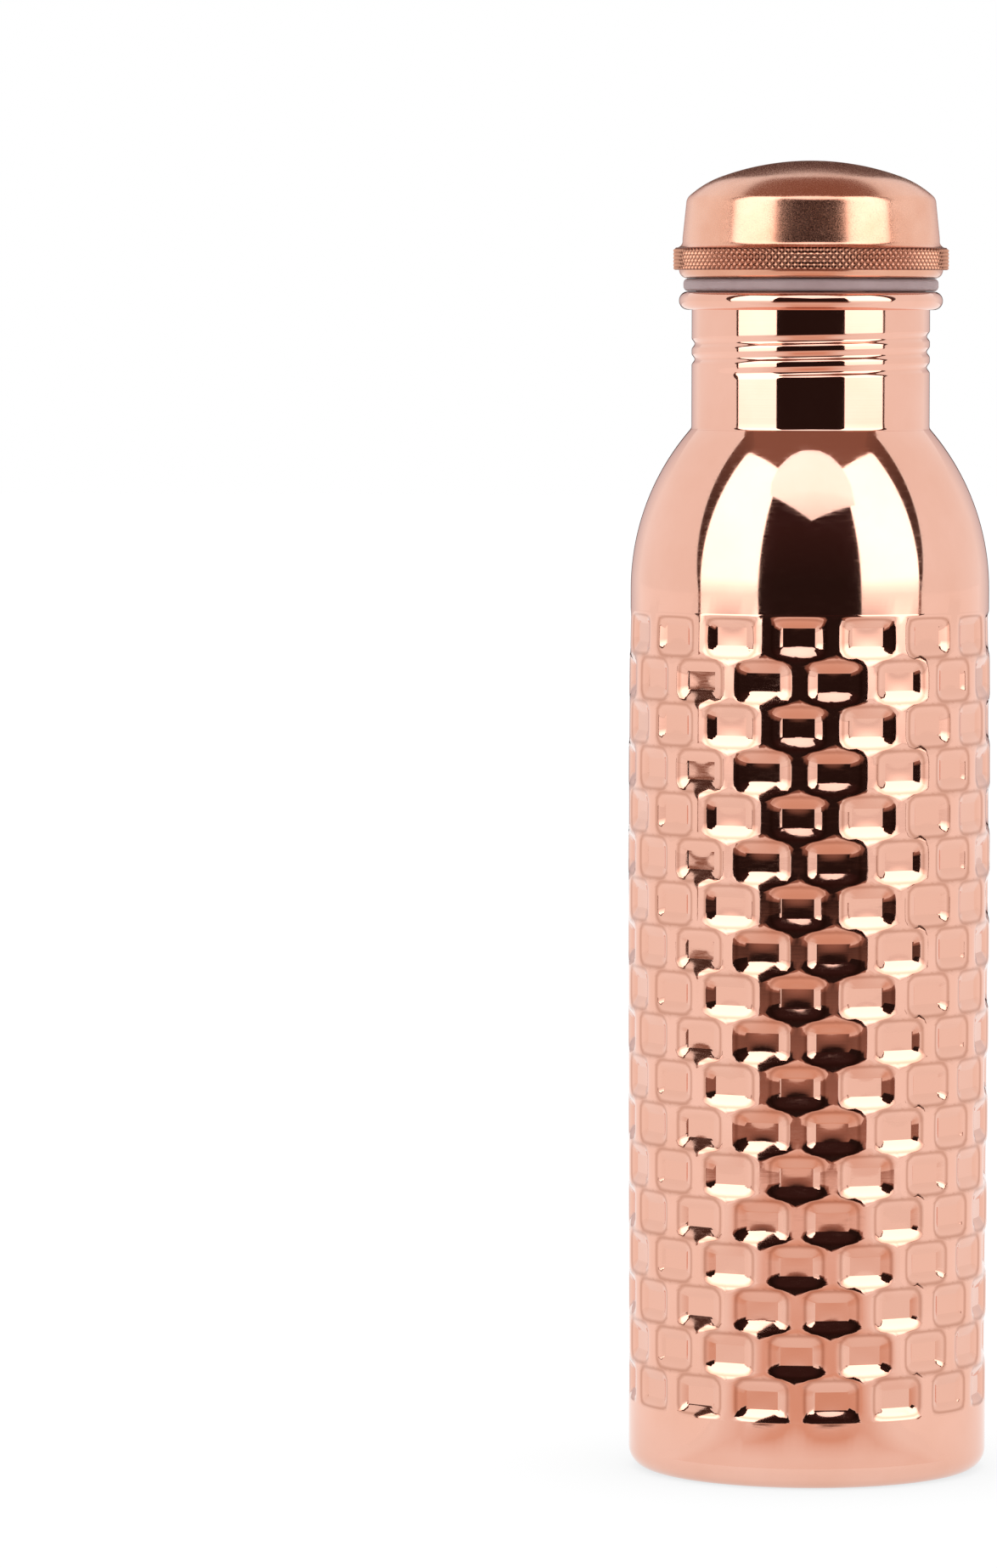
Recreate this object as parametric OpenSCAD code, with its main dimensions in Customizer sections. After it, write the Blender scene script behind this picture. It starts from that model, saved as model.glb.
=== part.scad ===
// Copper water bottle: embossed body, thread-rolled neck, knurled screw cap with a silicone gasket.
// Millimetres, +Z up, origin at the centre of the foot on the table, front of the bottle towards -Y.

/* [Part] */
// Which node to draw

/* [Body] */
// Outer diameter of the plain bands above and below the embossing
body_d = 74; // [70:0.5:80]
// Height of the centre of the shoulder's arc, where the straight body ends
shoulder_z = 182.3; // [181:0.1:186]
// Radius of the shoulder's arc
shoulder_bend = 50.4; // [49:0.1:52]
// Radius of the corner between body and foot
foot_corner = 4.2; // [3:0.1:5]
// Thickness of the body sheet
wall = 0.6; // [0.5:0.05:0.7]
// Width of the flat ring that the bottle stands on
foot_ring_w = 1.6; // [1.2:0.1:2]
// Height of the recess under the base
base_lift = 2.4; // [1.5:0.1:3.5]
// Rise of the base plate's centre above the recess's rim
base_crown = 0.8; // [0:0.1:1.5]

/* [Embossing] */
// Rows of dimples
rows = 18; // [14:1:20]
// Dimples in one row
per_row = 16; // [14:1:18]
// Height of the lower edge of the embossed field
pattern_bottom = 13.6; // [12:0.1:15]
// Height of the upper edge of the embossed field
pattern_top = 178.3; // [176:0.1:180]
// Width of a dimple's flat floor
floor_w = 6.8; // [5:0.1:7.5]
// Height of a dimple's flat floor
floor_h = 3.7; // [2.4:0.1:4]
// Depth of the floor below the crest circle, at the middle of a dimple
dimple_depth = 1.3; // [0.9:0.05:1.6]
// How far the point of a cell reaches past the mean row boundary
peak = 1.05; // [0.6:0.05:1.3]
// How far the crests stand out past the plain bands
crest_swell = 0.5; // [0:0.05:0.7]
// Turn of the whole embossed field about the bottle's axis, in degrees
pattern_turn = -3.4; // [-11:0.1:11]

/* [Neck] */
// Outer diameter of the neck
neck_d = 49.1; // [48.6:0.1:49.6]
// Radius of the fillet at the foot of the neck
neck_fillet = 1; // [0.6:0.1:4]
// Height of the top of the rolled lip
lip_top = 243.6; // [242.6:0.1:243.6]
// Outer diameter of the rolled lip
lip_d = 54.4; // [53.8:0.1:55]

/* [Thread] */
// Rise of the thread in one turn
pitch = 3.2; // [3:0.1:3.4]
// Depth of the rolled groove
thread_depth = 0.6; // [0.4:0.05:0.6]
// Turns of groove rolled into the neck
thread_turns = 2.6; // [2:0.1:2.8]
// Height of the groove's start, at the front
thread_z = 227.2; // [227:0.1:227.6]
// Radial gap between the thread of the neck and the thread of the plug
thread_gap = 0.3; // [0.25:0.05:0.35]

/* [Cap] */
// Height of the top of the dome
cap_top = 270.5; // [269:0.1:272]
// Radius of the dome's crown
crown_bend = 54; // [50:0.5:58]
// Slope of the dome, in degrees, where the crown passes into the haunch
crown_turn = 20; // [18:0.5:22]
// Radius of the haunch between the crown and the corner
haunch_bend = 20; // [18:0.5:24]
// Radius of the corner between haunch and side
cap_corner = 2.2; // [1.5:0.1:3]
// Radius of the cap's side just under the corner
cap_r_top = 25.75; // [25.4:0.05:26.2]
// Radius of the cap's side just above the band
cap_r_low = 26.5; // [26.4:0.05:26.8]
// Outer diameter of the knurled band
band_d = 56.8; // [56.4:0.1:57.4]
// Height of the knurled band's lower edge
band_low = 248.1; // [248:0.05:248.4]
// Height of the knurled band's upper edge
band_high = 252.6; // [252.1:0.1:253.1]
// Height of the plug's closed lower end
plug_low = 227.5; // [227:0.1:228]

/* [Gasket] */
// Outer diameter of the gasket
gasket_d = 52.6; // [52:0.1:53]

/* [Hidden] */
$fn = 96;
copper = [0.80, 0.47, 0.36];
deep_copper = [0.70, 0.38, 0.27];
silicone = [0.78, 0.76, 0.78];
body_r = body_d / 2;
neck_r = neck_d / 2;
neck_bore = neck_r - wall;
lip_r = lip_d / 2;
foot_ring_inner = body_r - foot_corner - foot_ring_w;
bead = 1.9;                                // section radius of the rolled lip
touch = 0.02;                              // clearance that keeps two seated faces apart
tongue = 0.8;                              // length of a faceted rim that is buried in a turned one
cut_in = 0.05;                             // how far a turned rim covers the faceted field
front = -90;                               // direction of the bottle's front
// embossed field
sides = 2 * per_row;
side_turn = 360 / sides;
row_pitch = (pattern_top - pattern_bottom) / rows;
rim_outer = body_r - touch;
rim_inner = (body_r - wall) / cos(side_turn / 2) + touch;
// neck and shoulder
shoulder_x = body_r - shoulder_bend;
fillet_x = neck_r + neck_fillet;
fillet_z = shoulder_z + sqrt(pow(shoulder_bend + neck_fillet, 2) - pow(fillet_x - shoulder_x, 2));
fillet_turn = atan((fillet_z - shoulder_z) / (fillet_x - shoulder_x));
mouth_turn = acos((neck_r - shoulder_x) / shoulder_bend);
mouth_turn_inner = acos((neck_r - shoulder_x) / (shoulder_bend - wall));
skirt_low = fillet_z - 5.6;                // lower end of the neck's tube, inside the shoulder
lip_centre_z = lip_top - bead;
lip_centre_x = lip_r - bead;
// thread
thread_from = -0.15;                       // the groove's start, in turns from the front
thread_fade = 0.15;                        // turns in which the groove runs out
groove_w = 2.4;                            // width of the groove along the axis
thread_sides = 36;
thread_rows = 20;
thread_low = thread_z + thread_from * pitch - groove_w / 2 - 0.3;
thread_high = thread_z + (thread_from + thread_turns) * pitch + groove_w / 2 + 0.3;
// cap
cap_wall = 0.7;
skirt_r = band_d / 2 - wall;
crown_z = cap_top - crown_bend;
haunch_x = (crown_bend - haunch_bend) * sin(crown_turn);
haunch_z = crown_z + (crown_bend - haunch_bend) * cos(crown_turn);
corner_x = cap_r_top - cap_corner;
corner_turn = acos((corner_x - haunch_x) / (haunch_bend - cap_corner));
corner_z = haunch_z + (haunch_bend - cap_corner) * sin(corner_turn);
step_bend = skirt_r - cap_r_low;           // fillet between the cap's side and its skirt
under_lip_z = 246.3;                       // lower edge of the crimped lip under the band
under_lip_r = 25.6;
lip_roll = 1.6;                            // how far the rolled lip reaches out under the band
flange_z = band_low + 0.35;                // lower face of the plug's flange
flange_t = 0.6;
seat_gap = 0.05;                           // gap between the gasket and each face that seats it
gasket_fit = 0.15;                         // radial gap between the gasket and the plug
plug_r = neck_bore - thread_gap;
plug_wall = 0.7;
plug_root = plug_r - thread_depth;
plug_thread_low = plug_low + 1.6;
plug_thread_high = 237.2;
plug_corner = 1.2;
plug_from = -3;                            // the plug's groove runs off its lower edge,
plug_to = 2.9;                             // and ends just above the neck's groove

// points on an arc about a centre, from one direction to another
function arc(c, r, from, to, steps) =
    [for (i = [0:steps]) let (a = from + (to - from) * i / steps) c + r * [cos(a), sin(a)]];

// a value held between 0 and 1
function unit(v) = min(1, max(0, v));

// ---------- embossed field ----------

// radius of the crests at a height: the plain radius at both ends, with a slight swell between them
function crest_r(z) =
    body_r + crest_swell * sin(180 * pow(unit((pattern_top - z) / (pattern_top - pattern_bottom)), 0.6));

// height of crest corner k on row boundary b: straight at the ends, zigzag between rows
function crest_z(b, k) =
    pattern_bottom + b * row_pitch + (b == 0 || b == rows ? 0 : (k + b) % 2 == 0 ? peak : -peak);

function around(r, a, z) = [r * cos(a), r * sin(a), z];

function side_angle(k) = front + pattern_turn + k * side_turn;

// one crest corner, set in from the outer face by the sheet's thickness for the inner face
function crest_point(b, k, inset) =
    let (z = crest_z(b, k), end = b == 0 || b == rows)
    around(end ? (inset == 0 ? rim_outer : rim_inner) : crest_r(z) - inset, side_angle(k), z);

// first crest side of the cells in a row: the rows are staggered by half a cell
function first_side(r) = (r + 1) % 2;

// one corner of a dimple's flat floor: q counts round from the lower left
function floor_point(r, c, q, inset) =
    let (
        z = pattern_bottom + (r + 0.5) * row_pitch,
        flat = crest_r(z) - dimple_depth - inset,
        swing = atan(floor_w / 2 / flat),
        a = side_angle(2 * c + first_side(r)) + (q == 0 || q == 3 ? -swing : swing)
    )
    around(flat / cos(swing), a, z + (q < 2 ? -floor_h / 2 : floor_h / 2));

function skin_points(inset) = concat(
    [for (b = [0:rows]) for (k = [0:sides - 1]) crest_point(b, k, inset)],
    [for (r = [0:rows - 1]) for (c = [0:per_row - 1]) for (q = [0:3]) floor_point(r, c, q, inset)]
);

crest_count = (rows + 1) * sides;
skin_count = crest_count + rows * per_row * 4;

function crest_id(b, k) = b * sides + (k + sides) % sides;
function floor_id(r, c, q) = crest_count + (r * per_row + c) * 4 + q;

// the facets of one dimple: a floor and the walls between it and its six crest corners
function cell_faces(r, c) =
    let (
        k = 2 * c + first_side(r),
        low = [crest_id(r, k - 1), crest_id(r, k), crest_id(r, k + 1)],
        high = [crest_id(r + 1, k - 1), crest_id(r + 1, k), crest_id(r + 1, k + 1)],
        f = [for (q = [0:3]) floor_id(r, c, q)]
    )
    [
        [f[0], f[3], f[2], f[1]],
        [low[0], f[0], low[1]],
        [low[1], f[0], f[1]],
        [low[1], f[1], low[2]],
        [high[0], high[1], f[3]],
        [high[1], f[2], f[3]],
        [high[1], high[2], f[2]],
        [low[0], high[0], f[3]],
        [low[0], f[3], f[0]],
        [low[2], f[1], f[2]],
        [low[2], f[2], high[2]]
    ];

function skin_faces() = [for (r = [0:rows - 1]) for (c = [0:per_row - 1]) each cell_faces(r, c)];

// a closed band of facets between two rings of points, given by the number of each ring's first point
function strip(a, b, n) =
    [for (k = [0:n - 1]) let (m = (k + 1) % n) each [[a + k, b + k, b + m], [a + k, b + m, a + m]]];

function ring(r, z) = [for (k = [0:sides - 1]) around(r, side_angle(k), z)];

module embossed_wall() {
    outer_skin = skin_points(0);
    inner_skin = skin_points(wall);
    tongues = concat(
        ring(rim_outer, pattern_top + tongue),
        ring(rim_inner, pattern_top + tongue),
        ring(rim_outer, pattern_bottom - tongue),
        ring(rim_inner, pattern_bottom - tongue)
    );
    t = 2 * skin_count;
    top_out = crest_id(rows, 0);
    top_in = skin_count + top_out;
    low_in = skin_count;
    inner = [for (f = skin_faces()) [for (i = [len(f) - 1:-1:0]) f[i] + skin_count]];
    polyhedron(
        concat(outer_skin, inner_skin, tongues),
        concat(
            skin_faces(),
            inner,
            strip(top_out, t, sides),
            strip(t, t + sides, sides),
            strip(t + sides, top_in, sides),
            strip(low_in, t + 3 * sides, sides),
            strip(t + 3 * sides, t + 2 * sides, sides),
            strip(t + 2 * sides, 0, sides)
        ),
        convexity = 10
    );
}

// ---------- rolled thread ----------

// depth of the groove at a direction and height, with the groove running between two turn counts
function groove(a, z, from, to) =
    let (
        turn = (a - front) / 360,
        s = turn + round((z - thread_z) / pitch - turn),
        off = z - thread_z - pitch * s,
        ends = unit((s - from) / thread_fade) * unit((to - s) / thread_fade)
    )
    abs(off) >= groove_w / 2 ? 0 : thread_depth * ends * (1 + cos(360 * off / groove_w)) / 2;

// a sheet ring with the thread rolled through both faces; its rims are thinned to be buried in turned rims
module rolled_ring(r, t, low, high, from, to, low_grooved) {
    n = thread_sides;
    rim = r - touch;
    rim_in = (r - t) / cos(180 / n) + touch;
    buried = 0.6;
    lower_drop = low_grooved ? thread_depth : 0;
    profile = [
        for (k = [0:n - 1]) let (a = front + 360 * k / n) concat(
            [[rim_in - lower_drop, low - buried], [rim - lower_drop, low - buried]],
            [for (j = [0:thread_rows]) let (z = low + (high - low) * j / thread_rows)
                [r - touch - groove(a, z, from, to) * (j == 0 && !low_grooved ? 0 : 1), z]],
            [[rim, high + buried], [rim_in, high + buried]],
            [for (j = [thread_rows:-1:0]) let (z = low + (high - low) * j / thread_rows)
                [(j == 0 || j == thread_rows ? rim_in : r - t) - groove(a, z, from, to), z]]
        )
    ];
    m = len(profile[0]);
    polyhedron(
        [for (k = [0:n - 1]) for (p = profile[k]) around(p[0], front + 360 * k / n, p[1])],
        [for (k = [0:n - 1]) for (j = [0:m - 1])
            let (k2 = (k + 1) % n, j2 = (j + 1) % m)
            each [[k * m + j, k * m + j2, k2 * m + j2], [k * m + j, k2 * m + j2, k2 * m + j]]],
        convexity = 10
    );
}

// ---------- nodes ----------

module shoulder() {
    outer = arc([shoulder_x, shoulder_z], shoulder_bend, 0, mouth_turn, 20);
    inner = arc([shoulder_x, shoulder_z], shoulder_bend - wall, mouth_turn_inner, 0, 20);
    low = pattern_top - cut_in;
    rotate_extrude() polygon(concat([[body_r, low]], outer, inner, [[body_r - wall, low]]));
}

module foot() {
    outer = arc([body_r - foot_corner, foot_corner], foot_corner, 0, -90, 12);
    inner = arc([body_r - foot_corner, foot_corner], foot_corner - wall, -90, 0, 12);
    high = pattern_bottom + cut_in;
    rotate_extrude() polygon(concat(
        [[body_r, high]], outer,
        [[foot_ring_inner, 0], [foot_ring_inner, wall]], inner,
        [[body_r - wall, high]]
    ));
}

module body_shell() {
    color(copper) union() {
        embossed_wall();
        shoulder();
        foot();
    }
}

module neck_tube(low, high) {
    translate([0, 0, low]) rotate_extrude() translate([neck_bore, 0]) square([wall, high - low]);
}

// the rolled lip: a curl with its edge tucked back against the neck
module lip() {
    slit_from = 195;
    slit_to = 225;
    outer = arc([lip_centre_x, lip_centre_z], bead, slit_from, slit_to - 360, 32);
    inner = arc([lip_centre_x, lip_centre_z], bead - wall, slit_to - 360, slit_from, 32);
    rotate_extrude() difference() {
        polygon(concat(outer, inner));
        translate([neck_bore - bead, lip_centre_z - bead]) square([bead, 2 * bead]);
    }
}

module neck_foot() {
    seat = arc([shoulder_x, shoulder_z], shoulder_bend + touch, mouth_turn, fillet_turn, 4);
    fillet = arc([fillet_x, fillet_z], neck_fillet, 180 + fillet_turn, 180, 8);
    buried_r = neck_r - wall / 2;
    rotate_extrude() polygon(concat([[buried_r, fillet_z], [buried_r, seat[0][1]]], seat, fillet));
}

module neck_collar() {
    color(copper) union() {
        neck_tube(skirt_low, thread_low + cut_in);
        neck_tube(thread_high - cut_in, lip_centre_z);
        rolled_ring(neck_r, wall, thread_low, thread_high, thread_from, thread_from + thread_turns, false);
        lip();
        neck_foot();
    }
}

module base_plate() {
    rim_r = body_r - foot_corner;
    step_r = foot_ring_inner - 1.6;
    slope = 2;
    low = wall + base_lift;
    mid = [step_r / 2, low + base_crown * 0.75];
    color(deep_copper) rotate_extrude() polygon([
        [0, low + base_crown], mid, [step_r - slope, low], [step_r, wall], [rim_r, wall],
        [rim_r, 2 * wall], [step_r + wall, 2 * wall], [step_r - slope + wall, low + wall],
        mid + [0, wall], [0, low + base_crown + wall]
    ]);
}

module gasket() {
    low = lip_top + seat_gap;
    high = under_lip_z - seat_gap;
    half = (high - low) / 2;
    r = gasket_d / 2;
    bore = plug_r + gasket_fit;
    color(silicone) rotate_extrude() polygon(concat(
        [[bore, low]], arc([r - half, low + half], half, -90, 90, 12), [[bore, high]]
    ));
}

module cap_dome() {
    foot_z = flange_z + flange_t;
    outer = concat(
        arc([0, crown_z], crown_bend, 90, 90 - crown_turn, 8),
        arc([haunch_x, haunch_z], haunch_bend, 90 - crown_turn, corner_turn, 8),
        arc([corner_x, corner_z], cap_corner, corner_turn, 0, 6),
        arc([skirt_r, band_high + step_bend], step_bend, 180, 270, 6),
        [[skirt_r, foot_z]]
    );
    inner = concat(
        [[skirt_r - cap_wall, foot_z], [skirt_r - cap_wall, band_high - cap_wall]],
        [[cap_r_low - cap_wall, band_high - cap_wall]],
        arc([corner_x, corner_z], cap_corner - cap_wall, 0, corner_turn, 6),
        arc([haunch_x, haunch_z], haunch_bend - cap_wall, corner_turn, 90 - crown_turn, 8),
        arc([0, crown_z], crown_bend - cap_wall, 90 - crown_turn, 90, 8)
    );
    color(copper) rotate_extrude() polygon(concat(outer, inner));
}

module cap_band() {
    r = band_d / 2;
    bevel = 0.4;
    lip_rise = 0.7;
    lip_drop = band_low - under_lip_z;
    roll = [for (a = [90:-15:0]) [under_lip_r + lip_roll * sin(a), band_low - lip_drop * cos(a)]];
    color(deep_copper) rotate_extrude() polygon(concat(
        [[skirt_r, band_high], [r - bevel, band_high], [r, band_high - bevel], [r, band_low]], roll,
        [[under_lip_r, under_lip_z + lip_rise]],
        [[under_lip_r + wall, flange_z - touch], [skirt_r, flange_z - touch]]
    ));
}

module cap_plug() {
    bore = plug_r - plug_wall;
    end_r = plug_root - cut_in;
    floor_outer = arc([end_r - plug_corner, plug_low + plug_corner], plug_corner, -90, 0, 6);
    floor_inner = arc([end_r - plug_corner, plug_low + plug_corner], plug_corner - plug_wall, 0, -90, 6);
    color(deep_copper) union() {
        rotate_extrude() polygon(concat(
            [[0, plug_low]], floor_outer, [[end_r, plug_thread_low + cut_in]],
            [[end_r - plug_wall, plug_thread_low + cut_in]], floor_inner, [[0, plug_low + plug_wall]]
        ));
        rolled_ring(plug_r, plug_wall, plug_thread_low, plug_thread_high, plug_from, plug_to, true);
        rotate_extrude() polygon([
            [bore, plug_thread_high - cut_in], [plug_r, plug_thread_high - cut_in], [plug_r, flange_z],
            [skirt_r, flange_z], [skirt_r, flange_z + flange_t], [bore, flange_z + flange_t]
        ]);
    }
}

body_shell();
neck_collar();
base_plate();
gasket();
cap_dome();
cap_band();
cap_plug();
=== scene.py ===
"""Copper water bottle on a white table: embossed shell, rolled neck, knurled screw cap."""

import math

import bpy
import numpy as np
from mathutils import Matrix


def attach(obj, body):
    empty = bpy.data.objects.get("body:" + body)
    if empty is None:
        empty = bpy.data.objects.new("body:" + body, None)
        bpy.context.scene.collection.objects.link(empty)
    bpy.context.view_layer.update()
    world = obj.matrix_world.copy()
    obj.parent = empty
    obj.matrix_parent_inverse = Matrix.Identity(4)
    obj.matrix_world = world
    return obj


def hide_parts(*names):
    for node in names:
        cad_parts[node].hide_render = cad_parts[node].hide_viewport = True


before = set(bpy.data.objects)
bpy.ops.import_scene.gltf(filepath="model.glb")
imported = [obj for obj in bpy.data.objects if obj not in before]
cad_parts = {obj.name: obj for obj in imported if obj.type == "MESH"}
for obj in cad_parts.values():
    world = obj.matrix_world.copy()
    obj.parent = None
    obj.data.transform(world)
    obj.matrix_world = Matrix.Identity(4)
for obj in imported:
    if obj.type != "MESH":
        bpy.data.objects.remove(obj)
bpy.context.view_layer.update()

# ---------------------------------------------------------------- sizes, millimetres, as in the CAD

MM = 0.001
FRONT = -90.0
COLUMNS = 192  # facets round a turned piece

BODY_R = 37.0
WALL = 0.6
SHOULDER_Z = 182.3
SHOULDER_BEND = 50.4
SHOULDER_X = BODY_R - SHOULDER_BEND
FOOT_CORNER = 4.2
FOOT_RING_INNER = 31.2

ROWS = 18
PER_ROW = 16
PATTERN_BOTTOM = 13.6
PATTERN_TOP = 178.3
ROW_PITCH = (PATTERN_TOP - PATTERN_BOTTOM) / ROWS
FLOOR_W = 6.8
FLOOR_H = 3.7
DIMPLE_DEPTH = 1.28
CREST_SWELL = 0.43
SWELL_POWER = 0.6  # below 1, so that the crests swell most in the upper half
PATTERN_TURN = -3.4
CELL_TURN = 360.0 / PER_ROW
HALF_CELL = 7.35  # half a cell's width along the crests
WALL_REACH = 3.6
RIDGE_POWER = 6.0
FLOOR_DENT = 0.04

NECK_R = 24.55
NECK_BORE = NECK_R - WALL
NECK_FILLET = 1.0
SKIRT_LOW = 211.0
LIP_TOP = 243.6
LIP_R = 27.2
BEAD = 1.9

PITCH = 3.2
THREAD_DEPTH = 0.6
THREAD_Z = 227.2
THREAD_FROM = -0.15
THREAD_TURNS = 2.6
THREAD_FADE = 0.15
GROOVE_W = 2.4
THREAD_GAP = 0.3
THREAD_STEP = 0.15  # spacing of the points that carry the thread outside; inside it is twice that

CAP_TOP = 270.5
CROWN_BEND = 54.0
CROWN_TURN = 20.0
HAUNCH_BEND = 20.0
CAP_CORNER = 2.2
CAP_R_TOP = 25.75
CAP_R_LOW = 26.5
CAP_WALL = 0.7
CAP_STEP = 1.3
BAND_R = 28.4
BAND_LOW = 248.1
BAND_HIGH = 252.6
BAND_SHEET = 0.6
UNDER_LIP_Z = 246.3
UNDER_LIP_R = 25.6
FLANGE_Z = BAND_LOW + 0.35
FLANGE_T = 0.6
PLUG_LOW = 227.5
PLUG_R = NECK_BORE - THREAD_GAP
PLUG_WALL = 0.7
PLUG_ROOT = PLUG_R - THREAD_DEPTH
GASKET_R = 26.3
GASKET_CORNER = 1.0
GASKET_FIT = 0.15
SEAT_GAP = 0.05
SEAM = 0.02  # gap left between pieces that are joined for good

KNURL_COUNT = 133
KNURL_ROW = 1.5
KNURL_DEPTH = 0.42
KNURL_FLAT = 0.82  # share of a diamond's height at which its point is cut flat
LIP_ROLL = 1.6
LIP_DROP = BAND_LOW - UNDER_LIP_Z

# ---------------------------------------------------------------- outlines and meshes


def arc(cx, cz, r, start, end, steps):
    """Points on an arc in the (radius, height) plane."""
    turns = np.radians(np.linspace(start, end, steps + 1))
    return [(cx + r * math.cos(a), cz + r * math.sin(a)) for a in turns]


def line(a, b, steps):
    """Points from a towards b, leaving out b."""
    return [tuple(np.array(a) + (np.array(b) - np.array(a)) * i / steps) for i in range(steps)]


def piece(name, points, faces, body, material, nodes, crease=35.0):
    """One mesh object in metres that stands for CAD nodes and rides on their body."""
    mesh = bpy.data.meshes.new(name)
    mesh.from_pydata((np.asarray(points) * MM).tolist(), [], faces)
    mesh.shade_smooth()
    mesh.set_sharp_from_angle(angle=math.radians(crease))
    obj = bpy.data.objects.new(name, mesh)
    bpy.context.scene.collection.objects.link(obj)
    obj.data.materials.append(material)
    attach(obj, body)
    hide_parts(*nodes)
    return obj


def lathe(radii, heights, start=FRONT, closed=True):
    """Points and faces of a turned surface: one row of radii and heights for each ring."""
    radii = np.asarray(radii, float)
    heights = np.broadcast_to(np.asarray(heights, float), radii.shape)
    rings, columns = radii.shape
    turn = np.radians(start + 360.0 * np.arange(columns) / columns)
    x = radii * np.cos(turn)
    y = radii * np.sin(turn)
    points = np.stack([x, y, heights], axis=2).reshape(-1, 3)
    ids = np.arange(rings * columns).reshape(rings, columns)
    for i in range(rings):
        if np.all(radii[i] < 1e-6):
            ids[i] = ids[i, 0]
    faces = []
    for i in range(rings if closed else rings - 1):
        low = ids[i]
        high = ids[(i + 1) % rings]
        for j in range(columns):
            k = (j + 1) % columns
            loop = [low[j], low[k], high[k], high[j]]
            face = [int(v) for n, v in enumerate(loop) if v != loop[n - 1]]
            if len(face) > 2:
                faces.append(face)
    return points, faces


def compact(points, faces):
    """Welds points that coincide and drops the ones that no face uses."""
    keys = np.round(np.asarray(points), 5)
    unique, index = np.unique(keys, axis=0, return_inverse=True)
    index = index.reshape(-1)
    out = []
    for f in faces:
        loop = [int(index[v]) for v in f]
        loop = [v for n, v in enumerate(loop) if v != loop[n - 1]]
        if len(loop) > 2:
            out.append(loop)
    used = np.unique(np.concatenate([np.array(f) for f in out]))
    renumber = np.full(len(unique), -1)
    renumber[used] = np.arange(len(used))
    return unique[used], [[int(renumber[v]) for v in f] for f in out]


def turned(profile, columns=COLUMNS):
    """A turned solid from a closed outline, given counter-clockwise in the (radius, height) plane."""
    radii = np.array([[p[0]] * columns for p in profile])
    heights = np.array([[p[1]] * columns for p in profile])
    return compact(*lathe(radii, heights))


# ---------------------------------------------------------------- the embossed shell


def crest_r(z):
    """Radius of the crests at a height."""
    t = np.clip((PATTERN_TOP - z) / (PATTERN_TOP - PATTERN_BOTTOM), 0, 1)
    return BODY_R + CREST_SWELL * np.sin(np.pi * t**SWELL_POWER)


def cell_centre(row, column):
    """Direction in degrees and height of a dimple's middle; every other row is staggered by half a cell."""
    turn = FRONT + PATTERN_TURN + (2 * column + (row + 1) % 2) * CELL_TURN / 2
    return turn, PATTERN_BOTTOM + (row + 0.5) * ROW_PITCH


def shell_r(turn, z):
    """Radius of the embossed face: flat floors, and walls that ease off towards the ridges between them."""
    least_gap = 1e-3
    row = np.floor((z - PATTERN_BOTTOM) / ROW_PITCH)
    weights = 0
    planes = 0
    for step in (-1, 0, 1):
        near_row = row + step
        stagger = (near_row + 1) % 2 * CELL_TURN / 2
        offset = turn - FRONT - PATTERN_TURN - stagger
        first = np.floor(offset / CELL_TURN)
        centre_z = PATTERN_BOTTOM + (near_row + 0.5) * ROW_PITCH
        flat = crest_r(centre_z) - DIMPLE_DEPTH
        exists = (near_row >= 0) & (near_row < ROWS)
        for k in (0, 1):
            swing = offset - (first + k) * CELL_TURN
            x = swing * 2 * HALF_CELL / CELL_TURN
            up = z - centre_z
            gap = np.hypot(np.maximum(abs(x) - FLOOR_W / 2, 0), np.maximum(abs(up) - FLOOR_H / 2, 0))
            weight = np.where(exists, np.maximum(gap, least_gap) ** -RIDGE_POWER, 0)
            dish = np.clip(1 - (2 * x / FLOOR_W) ** 2, 0, 1) * np.clip(1 - (2 * up / FLOOR_H) ** 2, 0, 1)
            plane = flat / np.cos(np.radians(swing)) - FLOOR_DENT * dish
            weights = weights + weight
            planes = planes + weight * plane
    plane = planes / weights
    gap = weights ** (-1 / RIDGE_POWER)
    edge = np.minimum(PATTERN_TOP - z, z - PATTERN_BOTTOM)
    t = np.clip((gap - least_gap) / np.minimum(WALL_REACH, gap + np.maximum(edge, 0)), 0, 1)
    return plane + (crest_r(z) - plane) * (4 * t - t**4) / 3


def shell_normal(turn, z):
    """Outward normal of the embossed face."""
    h = 0.01
    r = shell_r(turn, z)
    round_slope = (shell_r(turn + h, z) - shell_r(turn - h, z)) / (2 * np.radians(h)) / r
    up_slope = (shell_r(turn, z + h) - shell_r(turn, z - h)) / (2 * h)
    a = np.radians(turn)
    x = np.cos(a) + round_slope * np.sin(a)
    y = np.sin(a) - round_slope * np.cos(a)
    n = np.stack([x, y, -up_slope], axis=-1)
    return n / np.linalg.norm(n, axis=-1, keepdims=True)


def ridge_line(x):
    """Height of the line equally far from two floors, at a distance x to the side of a dimple's middle."""
    x = abs(x)
    gap = ROW_PITCH - FLOOR_H
    inner = HALF_CELL - FLOOR_W / 2
    outer = FLOOR_W / 2
    if x < outer:
        return ROW_PITCH / 2 + (x - inner) ** 2 / (2 * gap)
    if x > inner:
        return ROW_PITCH / 2 - (x - outer) ** 2 / (2 * gap)
    rise = (inner - outer) ** 2 / (2 * gap)
    return ROW_PITCH / 2 + rise * (1 - 2 * (x - outer) / (inner - outer))


# How far the rings of a cell lie from the floor's edge (0) to the ridge (1).
RING_STEPS = (0, 0.13, 0.28, 0.46, 0.64, 0.82, 1)


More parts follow.
